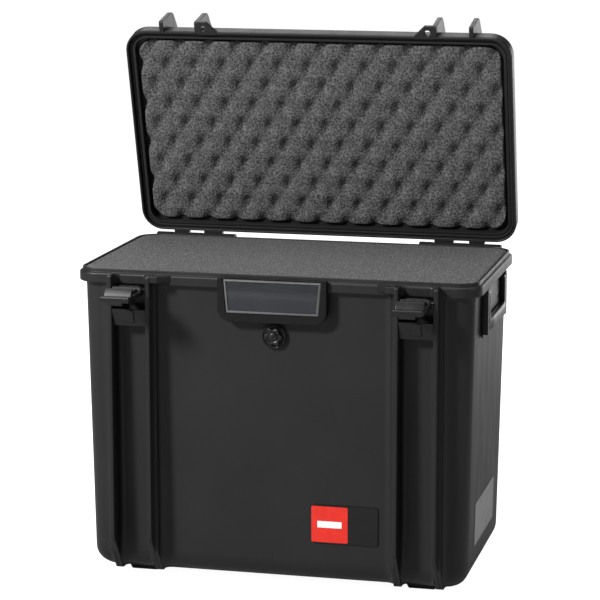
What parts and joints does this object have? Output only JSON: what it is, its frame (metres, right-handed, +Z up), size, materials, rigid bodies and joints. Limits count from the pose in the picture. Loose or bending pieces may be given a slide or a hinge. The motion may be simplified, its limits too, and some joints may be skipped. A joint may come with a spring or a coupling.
{
  "type": "hard equipment case",
  "caption": "Deep hard equipment case with a hinged lid, foam filling, swing latches, padlock eyes, purge valve, label holder and fold-out end handles.",
  "frame": {"origin": "middle of the case on the level that the four feet stand on", "axes": "+X towards the case's right end seen from the front, +Y from the latches towards the hinges, +Z up"},
  "size_m": [0.4358, 0.3534, 0.5862],
  "materials": {
    "case_resin": "fine moulded grain, satin black",
    "hardware_resin": "smooth moulded black",
    "foam": "open-cell charcoal foam",
    "seal_rubber": "soft matte",
    "steel": "turned",
    "membrane": "microporous",
    "card": "plain card",
    "clear_window": "clear plastic",
    "badge_black": "gloss",
    "badge_red": "gloss",
    "label_grey": "satin film"
  },
  "bodies": {
    "case": {"body_shell": "case_resin", "foam_base_pad": "foam", "foam_lower": "foam", "foam_middle": "foam", "foam_upper": "foam", "foam_top": "foam", "foot_front_left": "case_resin", "foot_front_right": "case_resin", "foot_back_left": "case_resin", "foot_back_right": "case_resin", "hinge_pin_left": "steel", "hinge_pin_right": "steel", "latch_pin_left": "steel", "latch_pin_right": "steel", "latch_guard_left": "hardware_resin", "latch_guard_right": "hardware_resin", "label_tray": "case_resin", "label_card": "card", "label_window": "clear_window", "valve_body": "hardware_resin", "valve_o_ring": "seal_rubber", "valve_nut": "hardware_resin", "valve_membrane": "membrane", "badge_plate": "badge_black", "badge_square": "badge_red", "side_label": "label_grey", "handle_base_left": "hardware_resin", "handle_base_right": "hardware_resin", "handle_pins_left": "steel", "handle_pins_right": "steel", "handle_screws_left": "steel", "handle_screws_right": "steel"},
    "lid": {"lid_shell": "case_resin", "lid_gasket": "seal_rubber", "lid_foam": "foam"},
    "latch_left": {"latch_lever_left": "hardware_resin"},
    "latch_right": {"latch_lever_right": "hardware_resin"},
    "handle_left_body": {"handle_left": "hardware_resin"},
    "handle_right_body": {"handle_right": "hardware_resin"},
    "valve_knob_body": {"valve_knob": "hardware_resin"}
  },
  "joints": [
    {"name": "lid_hinge", "type": "hinge", "parent": "case", "child": "lid", "pos_m": [0, 0.129, 0.327], "axis": [-1, 0, 0], "range_deg": [-74, 26]},
    {"name": "latch_left_hinge", "type": "hinge", "parent": "case", "child": "latch_left", "pos_m": [-0.152, -0.127, 0.313], "axis": [-1, 0, 0], "range_deg": [-12, 90]},
    {"name": "latch_right_hinge", "type": "hinge", "parent": "case", "child": "latch_right", "pos_m": [0.152, -0.127, 0.313], "axis": [-1, 0, 0], "range_deg": [-12, 90]},
    {"name": "handle_left_hinge", "type": "hinge", "parent": "case", "child": "handle_left_body", "pos_m": [-0.2128, 0, 0.313], "axis": [0, 1, 0], "range_deg": [0, 90]},
    {"name": "handle_right_hinge", "type": "hinge", "parent": "case", "child": "handle_right_body", "pos_m": [0.2128, 0, 0.313], "axis": [0, -1, 0], "range_deg": [0, 90]},
    {"name": "valve_knob_turn", "type": "hinge", "parent": "case", "child": "valve_knob_body", "pos_m": [0, -0.11255, 0.27], "axis": [0, -1, 0], "range_deg": [0, 270]}
  ]
}
